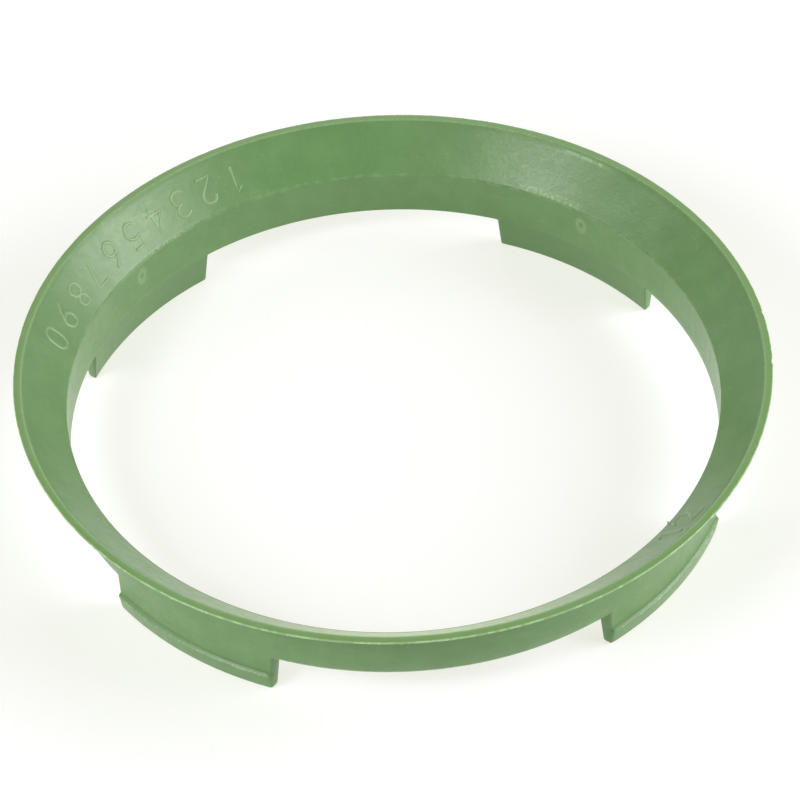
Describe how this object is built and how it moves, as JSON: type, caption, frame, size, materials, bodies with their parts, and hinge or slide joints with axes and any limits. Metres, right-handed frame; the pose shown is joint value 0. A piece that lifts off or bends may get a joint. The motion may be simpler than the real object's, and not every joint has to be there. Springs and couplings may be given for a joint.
{
  "type": "hub centric ring",
  "caption": "Thin moulded spigot ring with a funnel-shaped flange and springy snap feet, which centres the wide bore of a car wheel on a smaller hub.",
  "frame": {"origin": "on the ring's axis, at the level of the feet's tips", "axes": "+Z along the axis from the feet up to the flange; the feet lie midway between the X and Y axes"},
  "size_m": [0.0774, 0.0774, 0.0132],
  "materials": {
    "green_plastic": "semi-matte moulded sage green plastic"
  },
  "bodies": {
    "root": {"hub_centric_ring": "green_plastic"}
  },
  "joints": []
}
